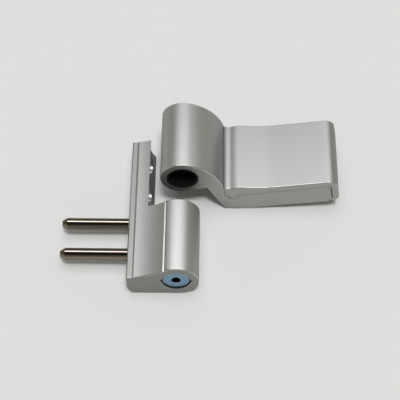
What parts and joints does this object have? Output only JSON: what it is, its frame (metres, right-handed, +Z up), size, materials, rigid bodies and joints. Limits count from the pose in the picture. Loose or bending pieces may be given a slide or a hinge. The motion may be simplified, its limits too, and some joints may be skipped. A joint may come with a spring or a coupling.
{
  "type": "two-part hinge",
  "caption": "Two-part lift-off door hinge: extruded frame half with round knuckle, support pins and height adjuster, and a cranked leaf half with a slide-on cover.",
  "frame": {"origin": "midway between the frame half's two screw holes, on its mounting face", "axes": "+X from the mounting face towards the hinge axis, +Y along the hinge axis (upwards on a hung door), +Z up as the halves lie on a table"},
  "size_m": [0.1379, 0.089, 0.0366],
  "materials": {
    "anodised": "satin silver anodised",
    "dark_steel": "dark polished steel",
    "zinc": "blue passivated zinc",
    "black_plastic": "matte black moulded"
  },
  "bodies": {
    "frame": {"frame_body": "anodised", "support_pin_near": "dark_steel", "support_pin_far": "dark_steel", "frame_bush": "black_plastic"},
    "adjuster": {"height_adjuster": "zinc"},
    "pad": {"thrust_pad": "black_plastic"},
    "washer": {"thrust_washer": "black_plastic"},
    "leaf": {"leaf_body": "anodised", "leaf_bush": "black_plastic", "leaf_cap": "anodised"},
    "cover": {"leaf_cover": "anodised"},
    "pin": {"hinge_pin": "dark_steel"}
  },
  "joints": [
    {"name": "leaf_swing", "type": "hinge", "parent": "frame", "child": "washer", "pos_m": [0.0239, -0.02195, 0.0017], "axis": [0, 1, 0], "range_deg": [-30, 100]},
    {"name": "leaf_seat", "type": "slide", "parent": "washer", "child": "leaf", "axis": [-0.1332, -0.5126, -0.8482], "range_m": [0, 0.01726]},
    {"name": "pin_drop", "type": "slide", "parent": "leaf", "child": "pin", "axis": [0, -1, 0], "range_m": [0, 0.02]},
    {"name": "cover_slide", "type": "slide", "parent": "leaf", "child": "cover", "axis": [0, 1, 0], "range_m": [0, 0.04]},
    {"name": "adjuster_turn", "type": "hinge", "parent": "frame", "child": "adjuster", "pos_m": [0.0239, -0.06225, 0.0017], "axis": [0, 1, 0], "range_deg": [0, 720]},
    {"name": "pad_lift", "type": "slide", "parent": "frame", "child": "pad", "axis": [0, 1, 0], "range_m": [0, 0.003]}
  ],
  "couplings": [
    {"joint": "pad_lift", "follows": "adjuster_turn", "m_per_rad": 0.00023873}
  ]
}
